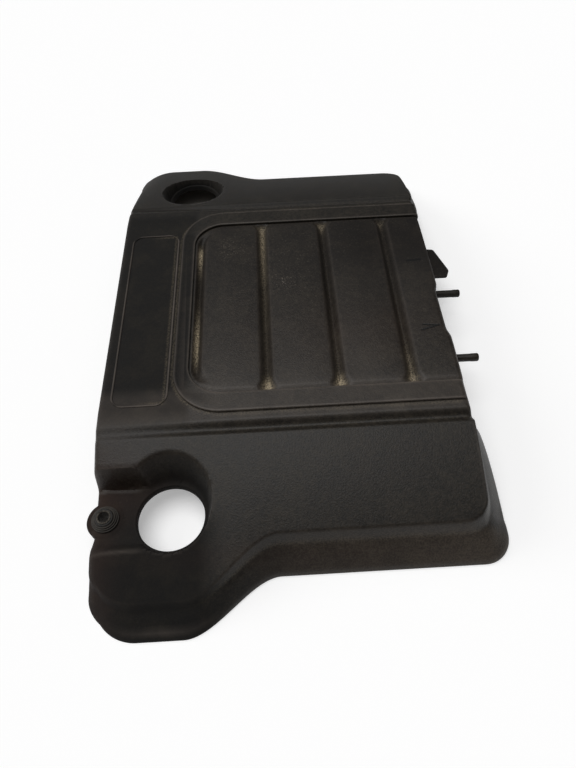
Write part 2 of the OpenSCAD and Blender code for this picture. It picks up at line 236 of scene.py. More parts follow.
# %% Floor
FLOOR_SIZE = 40
FLOOR_Z = -0.0004
bpy.ops.mesh.primitive_plane_add(size=FLOOR_SIZE, location=(0, 0, FLOOR_Z))
floor = bpy.context.object
floor.name = "floor"
paper = Finish("white_paper")
seen = paper.node("ShaderNodeLightPath", {}, {}, "Is Camera Ray")
for kind_of_ray in ("Is Glossy Ray", "Is Transmission Ray"):
    seen = seen.math("MAXIMUM", paper.node("ShaderNodeLightPath", {}, {}, kind_of_ray))
unseen = paper.node("ShaderNodeBsdfDiffuse", {}, {"Color": (0.6, 0.6, 0.6, 1)})
sheet = paper.node("ShaderNodeBsdfDiffuse", {}, {"Color": (0.8, 0.8, 0.8, 1)})
glow = paper.node("ShaderNodeEmission", {}, {"Color": (1, 1, 1, 1), "Strength": 0.33})
lit = paper.node("ShaderNodeAddShader", {}, {0: sheet, 1: glow})
ground = paper.node("ShaderNodeMixShader", {}, {0: seen, 1: unseen, 2: lit})
print("paper mixes", len(paper.tree.nodes), "nodes")

# %% [markdown]
# In the photograph nothing but darkness shows through the far hole and through the bush. So the camera
# meets dark felt there and not white paper, as painted shade: a grey patch, which the cover shades, lies
# behind the far hole, and a tiny black one lies behind the bore of the bush.

# %% Felt patches of painted shade
# Each patch is painted shade: dark felt on the floor where only the cover's shade falls.
painted_shade_patches = (
    {"grey": 0.5, "centre": (-0.144, 0.314, 0), "reach": 0.06},
    {"grey": 0.03, "centre": (-0.2257, -0.2553, 0), "reach": 0.004},
)
for patch in painted_shade_patches:
    grey = patch["grey"]
    reach = patch["reach"]
    painted_shade_felt = paper.node("ShaderNodeBsdfDiffuse", {}, {"Color": (grey, 0.92 * grey, 0.84 * grey, 1)})
    away = paper.node("ShaderNodeVectorMath", {"operation": "DISTANCE"},
                      {0: paper.place(), 1: patch["centre"]}, "Value")
    ground = paper.node("ShaderNodeMixShader", {}, {0: away.step(0.85 * reach, reach), 1: painted_shade_felt, 2: ground})
paper.tree.links.new(ground.socket, paper.tree.nodes["Material Output"].inputs["Surface"])
floor.data.materials.append(paper.material)
print("floor has", len(painted_shade_patches), "felt patches")

# %% [markdown]
# Every size from here on is in millimetres and follows the real moulding. In plan, s is the distance behind
# the front edge, y the place across the cover and a the distance from its centre line. The rear end, the
# height and the reach of the lobes come from the frame, so the skin can't drift away from the CAD.

# %% Main sizes
MM = 0.001
cad_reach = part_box("cover_shell")[1]
pin_len = 38  # the rear pins stand this far behind the plate
plate_len = 423
wall = 3
crown_above = 1  # the pads' crowns stand this far above the border
flat_step = 3.5  # the flat plate lies this far below the border's top
plate_h = cad_reach.z / MM - crown_above
flat_z = plate_h - flat_step
front_x = cad_reach.x / MM - pin_len - plate_len
rear_x = front_x + plate_len
flat_half = 180  # from the centre line to the end of the flat plate
wing_half = 196  # to the inner edge of the wing
crease_half = 298  # to the crease above the side skirt
edge_half = 331.5  # to the lower edge of the side
lobe_reach = cad_reach.y / MM - edge_half
print("front edge at", round(front_x, 2), "mm, lobes reach", round(edge_half + lobe_reach, 1), "mm")

# %% [markdown]
# The skin of the cover is one smooth sheet, so its height can be written as a function of the place in
# plan. Small helpers blend one height into the next, as a toolmaker's fillets do. Arrays go in and out,
# so the whole sheet is worked out in one go.

# %% Blends
def smooth(t):
    t = np.clip(t, 0, 1)
    return t * t * (3 - 2 * t)


def mix(p, q, t):
    return p + (q - p) * t


def hump(t):
    return np.where(np.abs(t) >= 1, 0, np.cos(np.pi / 2 * np.clip(t, -1, 1)) ** 2)


def quarter(t):
    return np.sqrt(1 - (1 - np.clip(t, 0, 1)) ** 2)


def shoulder(t):
    return (1 - (1 - np.clip(t, 0, 1)) ** 2.6) ** (1 / 2.6)


print("a fifth of the way in, a round shoulder is", round(float(quarter(0.2)), 2), "of its height")

# %% [markdown]
# Seen from above, each side is straight along the wing and swells into a lobe at the front. The rear edge
# flares out behind the wings, stands a little askew, and is set in round the two pins.

# %% Outline
lobe_len = 98  # the lobe keeps its whole reach for this length
lobe_bend = 105  # and dies away over this one
corner_r = 50  # the lobe's front corner
rear_skirt = 3  # how far the rear skirt leans out in the middle
rear_flare = 32  # and behind the wings
flare_end = crease_half - 7
rear_round = 7
rear_skew = 7  # over the whole width
pin_places = (19, -90)  # y of each pin
pins_mid = sum(pin_places) / 2
inset_half = 46.5  # the rear edge is set in this far to either side of the pins' middle
inset_run = 16
rear_inset = 3.6


def lobe(s):
    return smooth((lobe_len + lobe_bend - s) / lobe_bend)


def side_edge(s):
    reach = edge_half + lobe_reach * lobe(s)
    arc = np.sqrt(np.maximum(0, corner_r ** 2 - (corner_r - s) ** 2))
    return np.where(s >= corner_r, reach, reach - corner_r + arc)


def side_crease(s):
    return side_edge(s) - (edge_half - crease_half)


def rear_edge(y):
    reach = np.clip((np.abs(y) - flat_half) / (flare_end - flat_half), 0, 1) ** 0.4
    return plate_len + rear_skirt + (rear_flare - rear_skirt) * reach


def rear_shift(s, y):
    askew = rear_skew * y / (2 * edge_half) * smooth((s - 0.85 * plate_len) / (0.15 * plate_len))
    beside_pins = smooth((inset_half - np.abs(y - pins_mid)) / inset_run)
    inset = beside_pins * smooth((s - plate_len) / rear_round + 2)
    return -askew - rear_inset * inset


print("the side stands at", float(side_edge(np.array(300.0))), "mm along the wing")

# %% [markdown]
# Four domed pads fill a field with round front corners. The first groove follows the field's front and
# dies out round its corners. The other three cross the field and open into a fan at their ends.

# %% Pads and grooves
field_s = 104.5  # the pads' field starts here
field_half = 144
field_r = 40  # its front corners
border_s = 86.5  # and the raised border round it here
border_side = 170
border_r = field_r + field_s - border_s
groove_half = 9
groove_depth = 8
groove_s = field_s + groove_half - 1
pitch = 84.75  # from groove to groove
cross_grooves = (1, 2, 3)
pad_edge = 5  # the width of the slope up to the pads
pad_rise = 2.0
crown = 2.5  # how much higher a pad's middle is


def field_depth(s, a):
    u, v = s - field_s, field_half - a
    corner = field_r - np.hypot(field_r - u, field_r - v)
    return np.where((u < field_r) & (v < field_r), corner, np.minimum(u, v))


def pad_groove(s, a):
    past_side = np.maximum(0, a - field_half + field_r)
    before_end = np.maximum(0.01, field_s + field_r - s)
    round_corner = smooth(np.degrees(np.arctan2(past_side, before_end)) / 60)
    first = hump((field_depth(s, a) - groove_half + 1) / groove_half) * (1 - round_corner)
    fan = groove_half * (1 + 0.6 * smooth((a - field_half + 16) / 12))
    rest = np.max([hump((s - groove_s - k * pitch) / fan) for k in cross_grooves], axis=0)
    return np.maximum(np.where(s < field_s + field_r, first, 0), rest)


def pad_z(s, a):
    k = (s - groove_s) / pitch
    across = 2 * (k - np.floor(k)) - 1
    rise = crown * (1 - across ** 2) * (1 - np.clip(a / field_half, 0, 1) ** 6)
    return flat_z + smooth(field_depth(s, a) / pad_edge) * (pad_rise + rise - groove_depth * pad_groove(s, a))


print("grooves at", [groove_s + k * pitch for k in (0, *cross_grooves)], "mm behind the front edge")

# %% [markdown]
# A wing slopes down on each side, falls further beside the lobe, and is a little domed across. Between the
# flat plate and the wing runs a shallow valley, which fades towards the front.

# %% Wings
wing_step = 7  # the wing's inner edge lies this far below the border's top
wing_fall = 40
lobe_fall = 20  # how much more it falls beside the lobes
wing_bulge = 10
valley_depth = 5
valley_half = 9  # half its width
valley_whole_s = 190  # the valley has its whole depth from here on


def wing_z(s, a):
    w = np.clip((a - wing_half) / (side_crease(s) - wing_half), 0, 1)
    in_valley = hump((a - (flat_half + wing_half) / 2) / valley_half)
    valley = valley_depth * in_valley * mix(0.2, 1, smooth(s / valley_whole_s))
    inner = mix(flat_step, wing_step, smooth((a - flat_half) / (wing_half - flat_half)))
    slope = mix(wing_step, wing_fall + lobe_fall * lobe(s), w) - wing_bulge * w * (1 - w)
    return plate_h - np.where(a < wing_half, inner, slope) - valley


print("the wing starts", round(float(wing_z(np.array(300.0), np.array(wing_half))), 1), "mm high")

# %% [markdown]
# The access holes stand in hollows, whose walls are steep on the outside and lean back towards the middle
# of the cover. Beside the near hole the floor runs on into a pocket for the bush. Each rim function is 0 on
# the floor and 1 on the skin round it.

# %% Hollows and pocket
hole_r = 37
hole_places = {-1: (85, 272), 1: (91, 266)}  # for the near side and the far side: s and a
hollow_z = 38  # the height of the hollows' and the pocket's floor
hollow_foot = hole_r + 3.4
steep_run = 2.6  # how far the wall leans on the outside
soft_run = 19  # and how much more towards the middle
bush_s = 14
bush_half = 271  # the bush stands this far from the centre line
inner_wall, inner_run = 35, 11  # from the bush to the wall's foot, and how far the wall leans
outer_wall, outer_run = 27, 13
rear_wall, rear_run = 49, 10


def hollow_top(u, v):
    return hollow_foot + steep_run + soft_run * ((1 + v / np.maximum(0.01, np.hypot(u, v))) / 2) ** 2.2


def hole_rim(s, y):
    rim = 1
    for side, (centre_s, centre_a) in hole_places.items():
        u, v = s - centre_s, centre_a - side * y
        top = hollow_top(u, v)
        rim = np.minimum(rim, smooth((np.hypot(u, v) - hollow_foot) / (top - hollow_foot)))
    return rim


def pocket_rim(s, y):
    walls = np.maximum((bush_half - inner_wall + y) / inner_run, (-y - bush_half - outer_wall) / outer_run)
    return np.where(y < 0, smooth(np.maximum(walls, (s - bush_s - rear_wall) / rear_run)), 1)


print("hollows are", round(2 * (hollow_foot + steep_run), 1), "mm wide or more at the top")

# %% [markdown]
# The panel puts the pads, the wings, the hollows and the pocket together, and rolls down a little at the
# rear. Outside its crease the skirt falls to the lip. Of its drop, about a third is a roll at the crease,
# a bit over half a leaning flange, and a tenth a roll at the lip.

# %% Whole height
front_round = 10
front_lip_z = 60
front_lip_run = 150  # towards each side the lip comes down to the floor over this width
rear_lip_z = 43
rear_lip_run = 95
rear_drop = 5
rear_corner_r = 33
panel_r = 24  # the crease's own corner


def panel_z(s, y):
    a = np.abs(y)
    top = np.where((a < field_half) & (s > field_s), pad_z(s, a), wing_z(s, a))
    z = mix(np.minimum(hollow_z, top), top, np.minimum(hole_rim(s, y), pocket_rim(s, y)))
    middle = 1 - smooth((a - flat_half) / (wing_half - flat_half))
    return z - rear_drop * (1 - quarter((plate_len - s) / rear_round)) * middle


def skirt_fall(f):
    flange = np.clip((f - 0.2) / 0.8, 0, 1)
    roll = 1 - np.sqrt(1 - np.clip((f - 0.9) / 0.1, 0, 1) ** 2)
    return 0.34 * smooth(f / 0.28) + 0.56 * flange ** 2 * 1.12 / (flange + 0.12) + 0.10 * roll


def skirt_share(s, a, y):
    u, v = s - plate_len, a - side_crease(np.minimum(s, plate_len))
    rounded = np.hypot(np.maximum(0, u + panel_r), np.maximum(0, v + panel_r)) - panel_r
    gone = np.maximum(0, np.where((u > -panel_r) & (v > -panel_r), rounded, np.maximum(u, v)))
    p, q = rear_edge(y) - s, side_edge(np.minimum(s, plate_len)) - a
    corner = rear_corner_r - np.hypot(rear_corner_r - p, rear_corner_r - q)
    at_corner = (p < rear_corner_r) & (q < rear_corner_r) & (s > plate_len - 10)
    left = np.where(at_corner, corner, np.minimum(p, q))
    left = np.where((u <= 0) & (v > 0) & (s < plate_len - 10), q, left)
    return np.clip(gone / np.maximum(1e-6, gone + np.maximum(0, left)), 0, 1)


def cover_height(s, y):
    a = np.abs(y)
    near_a = np.minimum(a, side_crease(np.minimum(s, plate_len)))
    rear_lip = rear_lip_z * (1 - np.clip((a - flat_half - 10) / rear_lip_run, 0, 1))
    lip = np.where(s > plate_len - 1, rear_lip, 0)
    z = mix(panel_z(np.minimum(s, plate_len), np.sign(y) * near_a), lip, skirt_fall(skirt_share(s, a, y)))
    front_lip = front_lip_z * (1 - np.clip((a - flat_half + 20) / front_lip_run, 0, 1))
    return mix(front_lip, z, shoulder(s / front_round))


pad_middle = float(cover_height(np.array(240.0), np.array(0.0)))
print("height at the middle of the second pad", round(pad_middle, 1), "mm")

# %% [markdown]
# A mesh grid is a net of rows and columns. It can be even, which wastes faces on flat places, or drawn
# close where the shape turns quickly. This one is close at the front roll, the grooves and the valleys, and
# closer down the skirt.

# %% Rows and columns
def stations(*spans):
    marks = [spans[0][0]]
    for start, end, step in spans:
        count = max(1, round((end - start) / step))
        marks += [mix(start, end, k / count) for k in range(1, count + 1)]
    return np.array(marks)


skirt_steps = np.array([0, 0.04, 0.09, 0.14, 0.19, 0.24, 0.3, 0.37, 0.46, 0.58, 0.7, 0.8, 0.87, 0.92, 0.96,
                        0.985, 1])
near_groove = 13  # the close rows reach this far to either side of a groove
first_close = 126  # and behind the first groove up to here
row_spans = [(front_round, border_s, 2.4), (border_s, first_close, 1.7)]
for k in cross_grooves:
    start, end = groove_s + k * pitch - near_groove, groove_s + k * pitch + near_groove
    row_spans += [(row_spans[-1][1], start, 3.4), (start, end, 1.6)]
row_spans += [(row_spans[-1][1], plate_len - rear_round, 3.4), (plate_len - rear_round, plate_len, 1)]
front_rows = np.array([0, 0.01, 0.04, 0.09, 0.16, 0.25, 0.36, 0.5, 0.66, 0.82]) * front_round
panel_rows = np.concatenate([front_rows, stations(*row_spans)])
outer_wing = 226  # from here on the columns follow the side
half_cols = stations((0, 100, 5), (100, 150, 1.9), (150, 176, 3.2), (176, 200, 1.6), (200, outer_wing, 3))
wing_cols = 48
share_cols = np.arange(1, wing_cols + 1) / wing_cols
print(len(panel_rows), "rows on the panel and", len(half_cols) + wing_cols, "columns on each side")

# %% [markdown]
# The rows go on past the panel, down the rear skirt, and the columns past the crease, down the side skirt.
# The outer columns follow the curved side edge, and points near the edge of a hole or a hollow are pulled
# onto it, so no edge is cut into steps. The net is worked out in plan, and its heights follow.

# %% Net in plan
def grid_places():
    rows = [(s, 0.0) for s in panel_rows] + [(plate_len, f) for f in skirt_steps[1:]]
    places = []
    for s, f in rows:
        arc = rear_corner_r ** 2 - max(0, rear_corner_r - (1 - f) * rear_flare) ** 2
        edge = float(side_edge(np.array(float(s)))) if f == 0 else edge_half - rear_corner_r + math.sqrt(arc)
        crease = float(side_crease(np.array(float(s)))) - 12 * f
        wing = mix(outer_wing, crease, share_cols)
        half = np.concatenate([half_cols, wing, mix(crease, edge, skirt_steps[1:])])
        y = np.concatenate([-half[:0:-1], half])
        places.append(np.stack([mix(s, rear_edge(y), f), y], axis=1))
    return np.array(places)


def snap_to_rings(plan):
    s, y = plan[..., 0], plan[..., 1]
    for side, (centre_s, centre_a) in hole_places.items():
        u, v = s - centre_s, centre_a - side * y
        d = np.maximum(0.01, np.hypot(u, v))
        for ring_r in (hole_r + 1.6, hollow_foot, hollow_top(u, v)):
            pull = np.where((np.abs(d - ring_r) < 1.3) & (side * y < side_crease(s) - 1), ring_r / d, 1)
            s, y = centre_s + (s - centre_s) * pull, side * centre_a + (y - side * centre_a) * pull
    return np.stack([s, y], axis=2)


plan = snap_to_rings(grid_places())
row_n, col_n = plan.shape[:2]
print("grid of", row_n, "rows and", col_n, "columns")

# %% [markdown]
# The skin has an outer and an inner face. The Solidify modifier could make the inner one, but it moves
# each point along the slope, which would push the lips below the floor. So the inner face is the same
# net, moved straight down, further on a steep place, and towards the lips inwards instead. Front and back
# say how far a point is from the front lip and how near the rear one.

# %% Outer and inner face
front_flare = 6  # the lips of the lobes lean this far forward
least_upright = 0.35
above_floor = 0.3


def outer_points():
    s, y = plan[..., 0], plan[..., 1]
    out = front_flare * smooth((np.abs(y) - bush_half - 15) / 25) * (1 - np.clip(s / front_round, 0, 1))
    return np.stack([s + front_x - out + rear_shift(s, y), y, cover_height(s, y)], axis=2)


def inner_points(outer):
    normal = np.cross(np.gradient(outer, axis=0), np.gradient(outer, axis=1))
    normal /= np.maximum(1e-9, np.linalg.norm(normal, axis=2, keepdims=True))
    s = plan[..., 0]
    skirt = np.repeat(np.concatenate([np.zeros(len(panel_rows)), skirt_steps[1:]])[:, None], col_n, axis=1)
    side = np.concatenate([np.zeros(len(half_cols) + len(share_cols)), skirt_steps[1:]])
    side = np.repeat(np.concatenate([-side[:0:-1], side])[None, :], row_n, axis=0)
    front = np.clip(s / front_round, 0, 1)
    behind = (plate_len - s) / rear_round
    back = np.where(behind < 1, 0.93 - 0.73 * np.clip(behind, 0, 1), 0.2 * smooth(2 - behind))
    back = np.where(skirt > 0, 0.93 + 0.07 * skirt, back)
    fade = np.sqrt(np.maximum(0, np.minimum(np.minimum(front, 1 - skirt), 1 - np.abs(side))))
    down = wall / np.maximum(least_upright, np.abs(normal[..., 2])) * fade
    down = np.minimum(down, np.maximum(0, outer[..., 2] - above_floor))
    return outer + np.stack([wall * (1 - front - back), -wall * side, -down], axis=2)


outer = outer_points()
inner = inner_points(outer)
print("outer face is", round(float(outer[..., 2].max()), 2), "mm high")

# %% [markdown]
# Blender's grid primitive makes both nets, and their points are then put in place. The inner one has every
# second row and column and is turned over. The two are joined and bridged along the lips.

# %% Skin
def deselect_all():
    bpy.ops.object.select_all(action="DESELECT")


def only(piece):
    deselect_all()
    piece.select_set(True)
    bpy.context.view_layer.objects.active = piece


def net(name, points):
    rows, cols = points.shape[:2]
    deselect_all()
    bpy.ops.mesh.primitive_grid_add(x_subdivisions=rows - 1, y_subdivisions=cols - 1, size=1)
    sheet = bpy.context.object
    sheet.name = name
    order = np.array([corner.co for corner in sheet.data.vertices])
    row = np.rint((order[:, 0] + 0.5) * (rows - 1)).astype(int)
    col = np.rint((order[:, 1] + 0.5) * (cols - 1)).astype(int)
    sheet.data.vertices.foreach_set("co", (points[row, col] * MM).ravel())
    sheet.data.update()
    return sheet


cover = net("engine_cover", outer)
lining = net("cover_lining", inner[::2, ::2])
bpy.ops.object.mode_set(mode="EDIT")
bpy.ops.mesh.select_all(action="SELECT")
bpy.ops.mesh.flip_normals()
bpy.ops.object.mode_set(mode="OBJECT")
cover.select_set(True)
bpy.context.view_layer.objects.active = cover
bpy.ops.object.join()
bpy.ops.object.mode_set(mode="EDIT")
bpy.ops.mesh.select_mode(type="EDGE")
bpy.ops.mesh.select_all(action="DESELECT")
bpy.ops.mesh.select_non_manifold(extend=False, use_wire=False, use_boundary=True,
                                 use_multi_face=False, use_non_contiguous=False, use_verts=False)
bpy.ops.mesh.bridge_edge_loops()
bpy.ops.object.mode_set(mode="OBJECT")
print("skin has", len(cover.data.polygons), "faces")

# %% [markdown]
# The raised border, the thin bead, the collars, the boss, the pins and the tab all grow out of the skin.
# Each is modelled as its own block and then united with it, so their edges are as crisp as a mould makes
# them. These helpers pick edges by place, round them, add a block, and join, cut or clean meshes.

# %% Modelling helpers
def unpick(piece, kind):
    only(piece)
    bpy.ops.object.mode_set(mode="EDIT")
    bpy.ops.mesh.select_mode(type=kind)
    bpy.ops.mesh.select_all(action="DESELECT")
    bpy.ops.object.mode_set(mode="OBJECT")


def pick_all(piece):
    only(piece)
    bpy.ops.object.mode_set(mode="EDIT")
    bpy.ops.mesh.select_all(action="SELECT")


def pick_edges(piece, test):
    unpick(piece, "EDGE")
    corner = [v.co / MM for v in piece.data.vertices]
    for edge in piece.data.edges:
        edge.select = bool(test(corner[edge.vertices[0]], corner[edge.vertices[1]]))
    bpy.ops.object.mode_set(mode="EDIT")


def bevel_picked(radius, segments):
    bpy.ops.mesh.bevel(offset=radius * MM, segments=segments, affect="EDGES")
    bpy.ops.object.mode_set(mode="OBJECT")


def round_edges(piece, radius, segments, test):
    pick_edges(piece, test)
    bevel_picked(radius, segments)


def block(name, low, high):
    low, high = Vector(low) * MM, Vector(high) * MM
    deselect_all()
    bpy.ops.mesh.primitive_cube_add(size=1, location=(low + high) / 2, scale=high - low)
    bpy.ops.object.transform_apply(location=True, rotation=True, scale=True)
    bpy.context.object.name = name
    return bpy.context.object


def combine(piece, tool, operation):
    only(piece)
    bpy.ops.object.modifier_add(type="BOOLEAN")
    modifier = piece.modifiers[-1]
    modifier.operation = operation
    modifier.object = tool
    modifier.solver = "MANIFOLD"
    bpy.ops.object.modifier_apply(modifier=modifier.name)
    bpy.data.objects.remove(tool)


def weld(piece, distance):
    pick_all(piece)
    bpy.ops.mesh.remove_doubles(threshold=distance * MM)
    bpy.ops.object.mode_set(mode="OBJECT")


def flatten(piece):
    pick_all(piece)
    bpy.ops.mesh.dissolve_limited(angle_limit=math.radians(0.5))
    bpy.ops.object.mode_set(mode="OBJECT")


print("modelling helpers ready")

# %% [markdown]
# The border and the bead are both flat rings with round corners: a block less a smaller one. An open ring
# runs out at the rear, so only its front corners are round. The rim of its top face gets a small radius,
# and those edges are found as the ones that belong to a single top face.

# %% Rings
CORNER_STEPS = 26
RIM_STEPS = 3


def round_rim(piece, z, radius):
    used = {}
    for face in piece.data.polygons:
        if face.normal.z > 0.99 and abs(face.center.z / MM - z) < 0.01:
            for key in face.edge_keys:
                used[key] = used.get(key, 0) + 1
    rim = {key for key, count in used.items() if count == 1}
    unpick(piece, "EDGE")
    for edge in piece.data.edges:
        edge.select = edge.key in rim
    bpy.ops.object.mode_set(mode="EDIT")
    bevel_picked(radius, RIM_STEPS)


def front_corner(p, q):
    return abs(p.z - q.z) > 1 and p.x < 0


def any_corner(p, q):
    return abs(p.z - q.z) > 0.5


def ring(name, low, high, radius, width, opened):
    body = block(name, low, high)
    ends = front_corner if opened else any_corner
    round_edges(body, radius, CORNER_STEPS, ends)
    inner_low = (low[0] + width[0], low[1] + width[1], low[2] - 5)
    inner_high = (high[0] + (20 if opened else -width[0]), high[1] - width[1], high[2] + 5)
    space = block("space", inner_low, inner_high)
    round_edges(space, radius - width[0], CORNER_STEPS, ends)
    combine(body, space, "DIFFERENCE")
    flatten(body)
    weld(body, 0.15)
    return body


print("rings have", CORNER_STEPS, "steps in each corner")

# %% [markdown]
# The border runs round the pads and is open to the rear. Two narrow insets keep the shading of its rounded
# rim from spreading over its flat top. At the rear it bends down with the shoulder of the skin, so a few
# cuts across give it corners to move first.

# %% Raised border
border_sunk = 2  # how deep the border reaches into the skin
border_rim = 1.3
border = ring("border", (front_x + border_s, -border_side, flat_z - border_sunk),
              (rear_x + 30, border_side, plate_h),
              border_r, (field_s - border_s, border_side - field_half), True)
round_rim(border, plate_h, border_rim)
for inset in range(2):
    unpick(border, "FACE")
    for face in border.data.polygons:
        face.select = face.normal.z > 0.99 and face.area > 1e-3
    bpy.ops.object.mode_set(mode="EDIT")
    bpy.ops.mesh.inset(thickness=1.4 * MM, depth=0)
    bpy.ops.object.mode_set(mode="OBJECT")
for t in (1, 0.8, 0.6, 0.42, 0.26, 0.14, 0.06):
    pick_all(border)
    bpy.ops.mesh.bisect(plane_co=((rear_x - t * rear_round) * MM, 0, 0), plane_no=(1, 0, 0))
    bpy.ops.object.mode_set(mode="OBJECT")
pick_all(border)
bpy.ops.mesh.bisect(plane_co=((rear_x - 0.1) * MM, 0, 0), plane_no=(1, 0, 0),
                    use_fill=True, clear_outer=True)
bpy.ops.object.mode_set(mode="OBJECT")
for corner in border.data.vertices:
    behind = (plate_len + front_x - corner.co.x / MM) / rear_round
    corner.co.z -= rear_drop * (1 - float(quarter(behind))) * MM
print("border has", len(border.data.polygons), "faces")

# %% [markdown]
# At the front a thin bead frames a plain, bare panel.

# %% Bead
bead_start, bead_end = 16, 82  # s of its front and rear
bead_near, bead_far = -157, 130  # y of its ends
bead_r = 16
bead_w = 2.4
bead_rise = 1.1
bead = ring("bead", (front_x + bead_start, bead_near, flat_z - 1.5),
            (front_x + bead_end, bead_far, flat_z + bead_rise), bead_r, (bead_w, bead_w), False)
round_rim(bead, flat_z + bead_rise, 0.9)
print("bead has", len(bead.data.polygons), "faces")

# %% [markdown]
# Round pieces are turned, as on a lathe: a profile of (radius, height) points is spun about an axis. A
# profile that starts and ends on the axis gives a solid, and one that stays off it gives a ring.

# %% Turned pieces
def turned(name, profile, centre, axis="Z", steps=72):
    deselect_all()
    bpy.ops.mesh.primitive_circle_add(vertices=len(profile))
    piece = bpy.context.object
    piece.name = name
    for corner, (radius, height) in zip(piece.data.vertices, profile):
        corner.co = Vector((radius, 0, height)) * MM
    if profile[0][0] == 0 and profile[-1][0] == 0:
        pick_edges(piece, lambda p, q: abs(p.x) < 1e-6 and abs(q.x) < 1e-6)
        bpy.ops.mesh.delete(type="EDGE")
        bpy.ops.object.mode_set(mode="OBJECT")
    pick_all(piece)
    bpy.ops.mesh.spin(steps=steps, angle=2 * math.pi, center=(0, 0, 0), axis=(0, 0, 1))
    bpy.ops.mesh.select_all(action="SELECT")
    bpy.ops.mesh.remove_doubles(threshold=1e-6)
    bpy.ops.mesh.normals_make_consistent(inside=False)
    bpy.ops.object.mode_set(mode="OBJECT")
    turn = Matrix.Rotation(math.pi / 2, 4, "Y") if axis == "X" else Matrix.Identity(4)
    piece.matrix_world = Matrix.Translation(Vector(centre) * MM) @ turn
    bpy.ops.object.transform_apply(location=True, rotation=True, scale=True)
    return piece


def plug(name, radius, low, high, centre):
    return turned(name, [(0, low), (radius, low), (radius, high), (0, high)], centre)


print("lathe ready")

# %% [markdown]
# A short collar lines each access hole. It hangs below the hollow's floor and has a rounded mouth. The bush
# sits in a boss, which shows as a round ear at the front lip.

# %% Collars and boss
collar_depth = 8
collar_wall = 3
collar_foot = hollow_z - collar_depth
collar_profile = [(hole_r, collar_foot), (hole_r + collar_wall, collar_foot),
                  (hole_r + collar_wall, hollow_z - 0.2), (hole_r + 2.2, hollow_z + 0.15),
                  (hole_r + 1.2, hollow_z + 0.05), (hole_r + 0.4, hollow_z - 0.5), (hole_r, hollow_z - 1.4)]
ear_r = 21
seat_z = 38.6  # the bush's flange lies here
boss_height = 18
boss_foot = seat_z - boss_height
bush_place = (front_x + bush_s, -bush_half, 0)
boss = turned("boss", [(0, boss_foot), (ear_r, boss_foot), (ear_r, seat_z - 2), (ear_r - 0.6, seat_z - 0.7),
                       (ear_r - 2, seat_z), (0, seat_z)], bush_place)
print("boss has", len(boss.data.polygons), "faces")

# %% [markdown]
# The two pins at the rear have a round foot, a fillet above it and a slightly fatter tip, which snaps into
# its grommet.

# %% Pins
pin_z = 54
foot_r = 8
stem_r = 4.9
tip_r = 5.2
pin_profile = [(0, -0.5), (foot_r, -0.5), (foot_r, 3.4), (7.4, 4), (5.9, 4.3), (5.0, 5.2), (stem_r, 8),
               (stem_r, 28), (tip_r, 29.5), (tip_r, 36.6), (4.7, 37.7), (4, pin_len), (0, pin_len)]
pins = [turned("pin", pin_profile, (rear_x, y, pin_z), "X", 40) for y in pin_places]
print(len(pins), "pins reach", round(rear_x + pin_len, 2), "mm")

# %% [markdown]
# The pointed tab is a flat plate with broken edges. Its outline is one face, which is extruded into a
# plate. Then its corners and its edges are rounded.

# %% Tab
tab_z = 52.5
tab_thick = 3
tab_corner_r = 2.5
tab_edge_r = 0.5
tab_outline = [(-1, 50), (28, 50), (33, 62), (19, 105), (-1, 108)]  # distance past the rear edge, and y
deselect_all()
bpy.ops.mesh.primitive_circle_add(vertices=len(tab_outline), fill_type="NGON")
tab = bpy.context.object
for corner, (past_rear, across) in zip(tab.data.vertices, tab_outline):
    corner.co = Vector((rear_x + past_rear, across, tab_z)) * MM
bpy.ops.object.mode_set(mode="EDIT")
bpy.ops.mesh.select_all(action="SELECT")
bpy.ops.mesh.extrude_region_move(TRANSFORM_OT_translate={"value": (0, 0, tab_thick * MM)})
bpy.ops.mesh.select_all(action="SELECT")
bpy.ops.mesh.normals_make_consistent(inside=False)
bpy.ops.object.mode_set(mode="OBJECT")
round_edges(tab, tab_corner_r, 4, lambda p, q: abs(p.z - q.z) > 1 and p.x > rear_x + 5)
round_edges(tab, tab_edge_r, 2, lambda p, q: abs(p.z - q.z) < 0.01)
print("tab has", len(tab.data.polygons), "faces")

# %% [markdown]
# All of it becomes one moulding. The holes are cut a little wide first, and the collars then line them. The
# boss gets its bore and, from below, a wider counterbore.

# %% One moulding
ABOVE_ALL = 90
SEAT_BORE_R = 10.5
SEAT_THICK = 6
for piece in [border, bead, boss, tab] + pins:
    combine(cover, piece, "UNION")
for side, (centre_s, centre_a) in hole_places.items():
    centre = (front_x + centre_s, side * centre_a, 0)
    combine(cover, plug("cut", hole_r + 1.6, 0, ABOVE_ALL, centre), "DIFFERENCE")
    combine(cover, turned("collar", collar_profile, centre, steps=96), "UNION")
combine(cover, plug("cut", SEAT_BORE_R, 0, ABOVE_ALL, bush_place), "DIFFERENCE")
combine(cover, plug("cut", ear_r - wall, seat_z - 24, seat_z - SEAT_THICK, bush_place), "DIFFERENCE")
weld(cover, 0.002)
bpy.ops.object.shade_smooth_by_angle(angle=math.radians(34))
cover.data.calc_loop_triangles()
print("moulding has", len(cover.data.loop_triangles), "triangles")

# %% [markdown]
# The bush is black rubber. Its waist goes through the bore of the boss, the thicker part below keeps it in,
# and its flange has three ridges. A plated steel sleeve with a rolled head stands in it. Both stand where
# the CAD pieces do.

